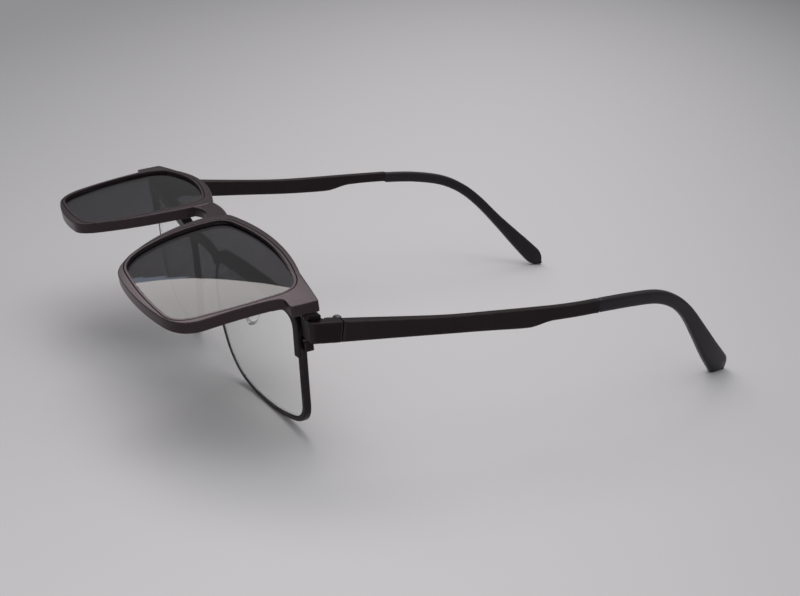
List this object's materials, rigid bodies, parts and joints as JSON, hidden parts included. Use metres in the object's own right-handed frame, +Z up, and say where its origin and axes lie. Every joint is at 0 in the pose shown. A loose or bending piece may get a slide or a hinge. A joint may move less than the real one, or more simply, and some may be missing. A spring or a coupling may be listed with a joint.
{
  "type": "spectacles with magnetic clip-on sunglasses",
  "caption": "Rectangular metal spectacles with folding temples and a magnetic clip-on sun shade that flips up over the brow or lifts off.",
  "frame": {"origin": "middle of the bounding box, on the table that the rims and temple tips rest on", "axes": "+X to the wearer's left, +Y back along the temples, +Z up; the front faces -Y"},
  "size_m": [0.138, 0.1862, 0.0464],
  "materials": {
    "black_metal": "satin black",
    "clip_metal": "brushed dark gunmetal",
    "tip_rubber": "matte",
    "clear_lens": "polished",
    "tinted_lens": "polished, dark grey tint",
    "pad_silicone": "clear silicone",
    "steel": "turned steel",
    "magnet": "nickel plate"
  },
  "bodies": {
    "frame": {"rim_left": "black_metal", "rim_right": "black_metal", "lens_left": "clear_lens", "lens_right": "clear_lens", "brow_left": "black_metal", "brow_right": "black_metal", "closing_block_left": "black_metal", "closing_block_right": "black_metal", "closing_screw_left": "steel", "closing_screw_right": "steel", "pad_arm_left": "steel", "pad_arm_right": "steel", "endpiece_left": "black_metal", "endpiece_right": "black_metal", "endpiece_magnet_left": "magnet", "endpiece_magnet_right": "magnet", "front_hinge_leaf_left": "black_metal", "front_hinge_leaf_right": "black_metal", "hinge_screw_left": "steel", "hinge_screw_right": "steel", "bridge": "black_metal"},
    "temple_left": {"temple_bar_left": "black_metal", "temple_hinge_leaf_left": "black_metal", "temple_tip_left": "tip_rubber"},
    "temple_right": {"temple_bar_right": "black_metal", "temple_hinge_leaf_right": "black_metal", "temple_tip_right": "tip_rubber"},
    "clip_feet": {"clip_foot_left": "clip_metal", "clip_foot_right": "clip_metal", "foot_magnet_left": "magnet", "foot_magnet_right": "magnet", "clip_pin_left": "steel", "clip_pin_right": "steel"},
    "clip": {"clip_frame": "clip_metal", "clip_lens_left": "tinted_lens", "clip_lens_right": "tinted_lens"},
    "pad_left": {"nose_pad_left": "pad_silicone", "pad_screw_left": "steel"},
    "pad_right": {"nose_pad_right": "pad_silicone", "pad_screw_right": "steel"}
  },
  "joints": [
    {"name": "temple_left_fold", "type": "hinge", "parent": "frame", "child": "temple_left", "pos_m": [0.0646, -0.04828, 0.0331], "axis": [0, 0.0436, 0.999], "range_deg": [0, 87]},
    {"name": "temple_right_fold", "type": "hinge", "parent": "frame", "child": "temple_right", "pos_m": [-0.0646, -0.04828, 0.0331], "axis": [0, -0.0436, -0.999], "range_deg": [0, 76]},
    {"name": "clip_lift_off", "type": "slide", "parent": "frame", "child": "clip_feet", "axis": [0, 0, 1], "range_m": [0, 0.06]},
    {"name": "clip_flip", "type": "hinge", "parent": "clip_feet", "child": "clip", "pos_m": [0, -0.05776, 0.03716], "axis": [1, 0, 0], "range_deg": [0, 86.5]},
    {"name": "pad_left_rock", "type": "hinge", "parent": "frame", "child": "pad_left", "pos_m": [0.0092, -0.04714, 0.01907], "axis": [-0.4623, 0.8857, -0.0429], "range_deg": [-8, 8]},
    {"name": "pad_right_rock", "type": "hinge", "parent": "frame", "child": "pad_right", "pos_m": [-0.0092, -0.04714, 0.01907], "axis": [-0.4623, -0.8857, 0.0429], "range_deg": [-8, 8]}
  ]
}
